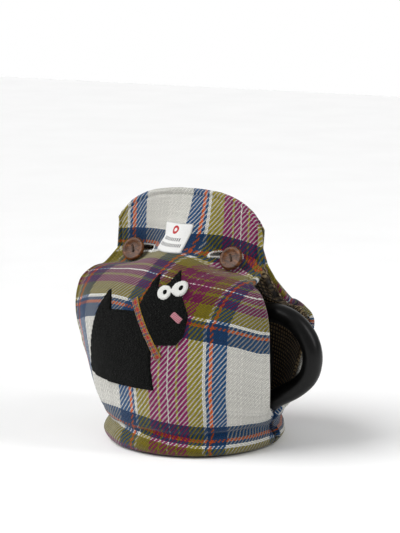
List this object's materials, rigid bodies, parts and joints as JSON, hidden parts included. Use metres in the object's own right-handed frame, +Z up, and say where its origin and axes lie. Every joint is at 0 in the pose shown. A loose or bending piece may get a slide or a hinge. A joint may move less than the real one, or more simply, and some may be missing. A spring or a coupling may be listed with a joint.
{
  "type": "tea cosy on teapot",
  "caption": "Round teapot in a quilted tweed cosy with side slots, a buttoned fold-open top and a felt terrier applique.",
  "frame": {"origin": "centre of the pot's flat foot, on the surface it stands on", "axes": "+Z up, +X towards the handle, -X towards the spout, -Y out of the cosy's front panel"},
  "size_m": [0.2385, 0.1733, 0.224],
  "materials": {
    "glaze": "satin black glaze",
    "tweed": "wool twill in olive, magenta, blue, orange and off-white plaid",
    "wadding": "loose polyester wadding",
    "lining": "small dark check",
    "black_felt": "brushed black felt",
    "white_felt": "smooth white felt",
    "pink_cloth": "ribbed pink ribbon",
    "ribbon": "woven ribbon in small checks with yellow edges",
    "coconut": "polished coconut shell",
    "dark_thread": "dark sewing thread",
    "white_thread": "white buttonhole thread",
    "label": "woven satin label"
  },
  "bodies": {
    "pot_and_cosy": {"pot_body": "glaze", "handle": "glaze", "spout": "glaze", "front_tweed": "tweed", "front_wadding": "wadding", "front_lining": "lining", "back_tweed": "tweed", "back_wadding": "wadding", "back_lining": "lining", "side_seam_left": "dark_thread", "side_seam_right": "dark_thread", "dog_body": "black_felt", "dog_head": "black_felt", "dog_collar": "ribbon", "dog_tongue": "pink_cloth", "dog_eyes": "white_felt", "dog_pupil_left": "black_felt", "dog_pupil_right": "black_felt"},
    "front_top": {"front_top_tweed": "tweed", "front_top_wadding": "wadding", "front_top_lining": "lining", "label": "label", "buttonhole_left": "white_thread", "buttonhole_right": "white_thread"},
    "back_top": {"back_top_tweed": "tweed", "back_top_wadding": "wadding", "back_top_lining": "lining", "button_shank_left": "dark_thread", "button_shank_right": "dark_thread"},
    "pot_lid": {"lid": "glaze", "lid_knob": "glaze"},
    "left_button": {"button_left": "coconut", "button_thread_left": "dark_thread"},
    "right_button": {"button_right": "coconut", "button_thread_right": "dark_thread"}
  },
  "joints": [
    {"name": "front_top_fold", "type": "hinge", "parent": "pot_and_cosy", "child": "front_top", "pos_m": [0, -0.056, 0.167], "axis": [1, 0, 0], "range_deg": [0, 110], "deforming": ["front_top_tweed", "front_top_wadding", "front_top_lining", "buttonhole_left", "buttonhole_right"]},
    {"name": "back_top_fold", "type": "hinge", "parent": "pot_and_cosy", "child": "back_top", "pos_m": [0, 0.056, 0.167], "axis": [-1, 0, 0], "range_deg": [0, 110]},
    {"name": "pot_lid_lift", "type": "slide", "parent": "pot_and_cosy", "child": "pot_lid", "axis": [0, 0, 1], "range_m": [0, 0.08]},
    {"name": "left_button_turn", "type": "hinge", "parent": "back_top", "child": "left_button", "pos_m": [-0.049, -0.022, 0.1675], "axis": [0, -0.8829, 0.4695], "range_deg": [-90, 90]},
    {"name": "right_button_turn", "type": "hinge", "parent": "back_top", "child": "right_button", "pos_m": [0.049, -0.022, 0.1675], "axis": [0, -0.8829, 0.4695], "range_deg": [-90, 90]}
  ],
  "couplings": [
    {"joint": "back_top_fold", "follows": "front_top_fold", "ratio": 1},
    {"joint": "pot_lid_lift", "follows": "front_top_fold", "m_per_rad": 0.0416}
  ]
}
